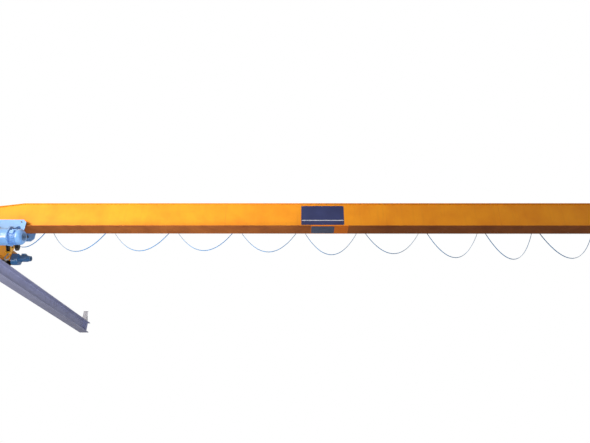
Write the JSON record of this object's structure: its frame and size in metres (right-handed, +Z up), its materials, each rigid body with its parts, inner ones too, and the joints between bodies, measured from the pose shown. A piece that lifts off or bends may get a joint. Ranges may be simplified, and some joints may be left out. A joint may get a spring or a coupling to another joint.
{
  "type": "overhead bridge crane",
  "caption": "Single-girder overhead bridge crane with underslung rope hoist, end carriages, festoon cable and one runway bay.",
  "frame": {"origin": "midway between the two runway beams and midway along the bay, at the level of the beams' undersides", "axes": "+X along the girder towards the cable's feed end, +Y along the runway, +Z up"},
  "size_m": [18.1, 9, 1.4133],
  "materials": {
    "runway_paint": "grey-blue paint, matt",
    "rail_steel": "rolled rail with a bright worn head",
    "stop_paint": "orange-yellow paint",
    "girder_paint": "orange-yellow gloss paint, slightly dirty",
    "girder_underside": "orange-brown paint, dusty",
    "wheel_steel": "machined tread, dull sides",
    "drive_paint": "blue machine paint",
    "buffer_rubber": "black rubber",
    "sign_blue": "navy blue sheet sign",
    "plate_slate": "slate blue plate",
    "zinc_steel": "zinc-coated steel",
    "box_grey": "light grey powder coat",
    "cable_sheath": "flat cable, blue-grey sheath",
    "hoist_blue": "light blue machine paint",
    "drum_steel": "greased steel",
    "motor_paint": "pale blue paint",
    "rope_steel": "greased wire rope",
    "hook_block_yellow": "yellow paint",
    "forged_steel": "dark forged steel",
    "carrier_steel": "dark zinc-coated steel"
  },
  "bodies": {
    "runway": {"runway_beam_left": "runway_paint", "runway_beam_right": "runway_paint", "rail_left": "rail_steel", "rail_right": "rail_steel", "runway_end_stops": "stop_paint"},
    "bridge": {"girder_top_flange": "girder_paint", "girder_front_web": "girder_paint", "girder_rear_web": "girder_paint", "girder_bottom_flange": "girder_underside", "girder_diaphragms": "girder_paint", "saddle_plates": "girder_paint", "end_carriage_left": "girder_paint", "end_carriage_right": "girder_paint", "bridge_wheels": "wheel_steel", "travel_drives": "drive_paint", "carriage_buffers": "buffer_rubber", "trolley_stops": "girder_paint", "sign_plate": "sign_blue", "load_plate": "plate_slate", "festoon_track": "zinc_steel", "festoon_arms": "girder_paint", "feed_box": "box_grey", "control_panel": "box_grey", "festoon_cable": "cable_sheath"},
    "hoist": {"trolley_side_plates": "hoist_blue", "trolley_wheels": "wheel_steel", "trolley_tie_bars": "zinc_steel", "drum_brackets": "hoist_blue", "drum_housing": "hoist_blue", "rope_drum": "drum_steel", "hoist_gearbox": "hoist_blue", "hoist_motor": "motor_paint", "return_sheave": "wheel_steel", "hoist_control_box": "box_grey", "tow_arm": "zinc_steel", "rope_falls": "rope_steel"},
    "hook": {"hook_block": "hook_block_yellow", "block_sheaves": "wheel_steel", "hook": "forged_steel"},
    "carrier_01": {"cable_carrier_01": "carrier_steel"},
    "carrier_02": {"cable_carrier_02": "carrier_steel"},
    "carrier_03": {"cable_carrier_03": "carrier_steel"},
    "carrier_04": {"cable_carrier_04": "carrier_steel"},
    "carrier_05": {"cable_carrier_05": "carrier_steel"},
    "carrier_06": {"cable_carrier_06": "carrier_steel"},
    "carrier_07": {"cable_carrier_07": "carrier_steel"},
    "carrier_08": {"cable_carrier_08": "carrier_steel"},
    "carrier_09": {"cable_carrier_09": "carrier_steel"},
    "carrier_10": {"cable_carrier_10": "carrier_steel"},
    "carrier_11": {"cable_carrier_11": "carrier_steel"}
  },
  "joints": [
    {"name": "bridge_travel", "type": "slide", "parent": "runway", "child": "bridge", "axis": [0, 1, 0], "range_m": [-0.72, 4.8]},
    {"name": "trolley_travel", "type": "slide", "parent": "bridge", "child": "hoist", "axis": [1, 0, 0], "range_m": [0, 14.5], "deforming": ["festoon_cable"]},
    {"name": "hook_lift", "type": "slide", "parent": "hoist", "child": "hook", "axis": [0, 0, 1], "range_m": [-5, 0], "deforming": ["rope_falls"]},
    {"name": "carrier_slide_01", "type": "slide", "parent": "bridge", "child": "carrier_01", "axis": [1, 0, 0], "range_m": [0, 13.606]},
    {"name": "carrier_slide_02", "type": "slide", "parent": "bridge", "child": "carrier_02", "axis": [1, 0, 0], "range_m": [0, 12.335]},
    {"name": "carrier_slide_03", "type": "slide", "parent": "bridge", "child": "carrier_03", "axis": [1, 0, 0], "range_m": [0, 11.024]},
    {"name": "carrier_slide_04", "type": "slide", "parent": "bridge", "child": "carrier_04", "axis": [1, 0, 0], "range_m": [0, 9.713]},
    {"name": "carrier_slide_05", "type": "slide", "parent": "bridge", "child": "carrier_05", "axis": [1, 0, 0], "range_m": [0, 8.404]},
    {"name": "carrier_slide_06", "type": "slide", "parent": "bridge", "child": "carrier_06", "axis": [1, 0, 0], "range_m": [0, 7.171]},
    {"name": "carrier_slide_07", "type": "slide", "parent": "bridge", "child": "carrier_07", "axis": [1, 0, 0], "range_m": [0, 5.9]},
    {"name": "carrier_slide_08", "type": "slide", "parent": "bridge", "child": "carrier_08", "axis": [1, 0, 0], "range_m": [0, 4.706]},
    {"name": "carrier_slide_09", "type": "slide", "parent": "bridge", "child": "carrier_09", "axis": [1, 0, 0], "range_m": [0, 3.603]},
    {"name": "carrier_slide_10", "type": "slide", "parent": "bridge", "child": "carrier_10", "axis": [1, 0, 0], "range_m": [0, 2.37]},
    {"name": "carrier_slide_11", "type": "slide", "parent": "bridge", "child": "carrier_11", "axis": [1, 0, 0], "range_m": [0, 1.175]}
  ],
  "couplings": [
    {"joint": "carrier_slide_01", "follows": "trolley_travel", "ratio": 0.9383},
    {"joint": "carrier_slide_02", "follows": "trolley_travel", "ratio": 0.8506},
    {"joint": "carrier_slide_03", "follows": "trolley_travel", "ratio": 0.7602},
    {"joint": "carrier_slide_04", "follows": "trolley_travel", "ratio": 0.6698},
    {"joint": "carrier_slide_05", "follows": "trolley_travel", "ratio": 0.5795},
    {"joint": "carrier_slide_06", "follows": "trolley_travel", "ratio": 0.4945},
    {"joint": "carrier_slide_07", "follows": "trolley_travel", "ratio": 0.4068},
    {"joint": "carrier_slide_08", "follows": "trolley_travel", "ratio": 0.3245},
    {"joint": "carrier_slide_09", "follows": "trolley_travel", "ratio": 0.2484},
    {"joint": "carrier_slide_10", "follows": "trolley_travel", "ratio": 0.1634},
    {"joint": "carrier_slide_11", "follows": "trolley_travel", "ratio": 0.081}
  ]
}
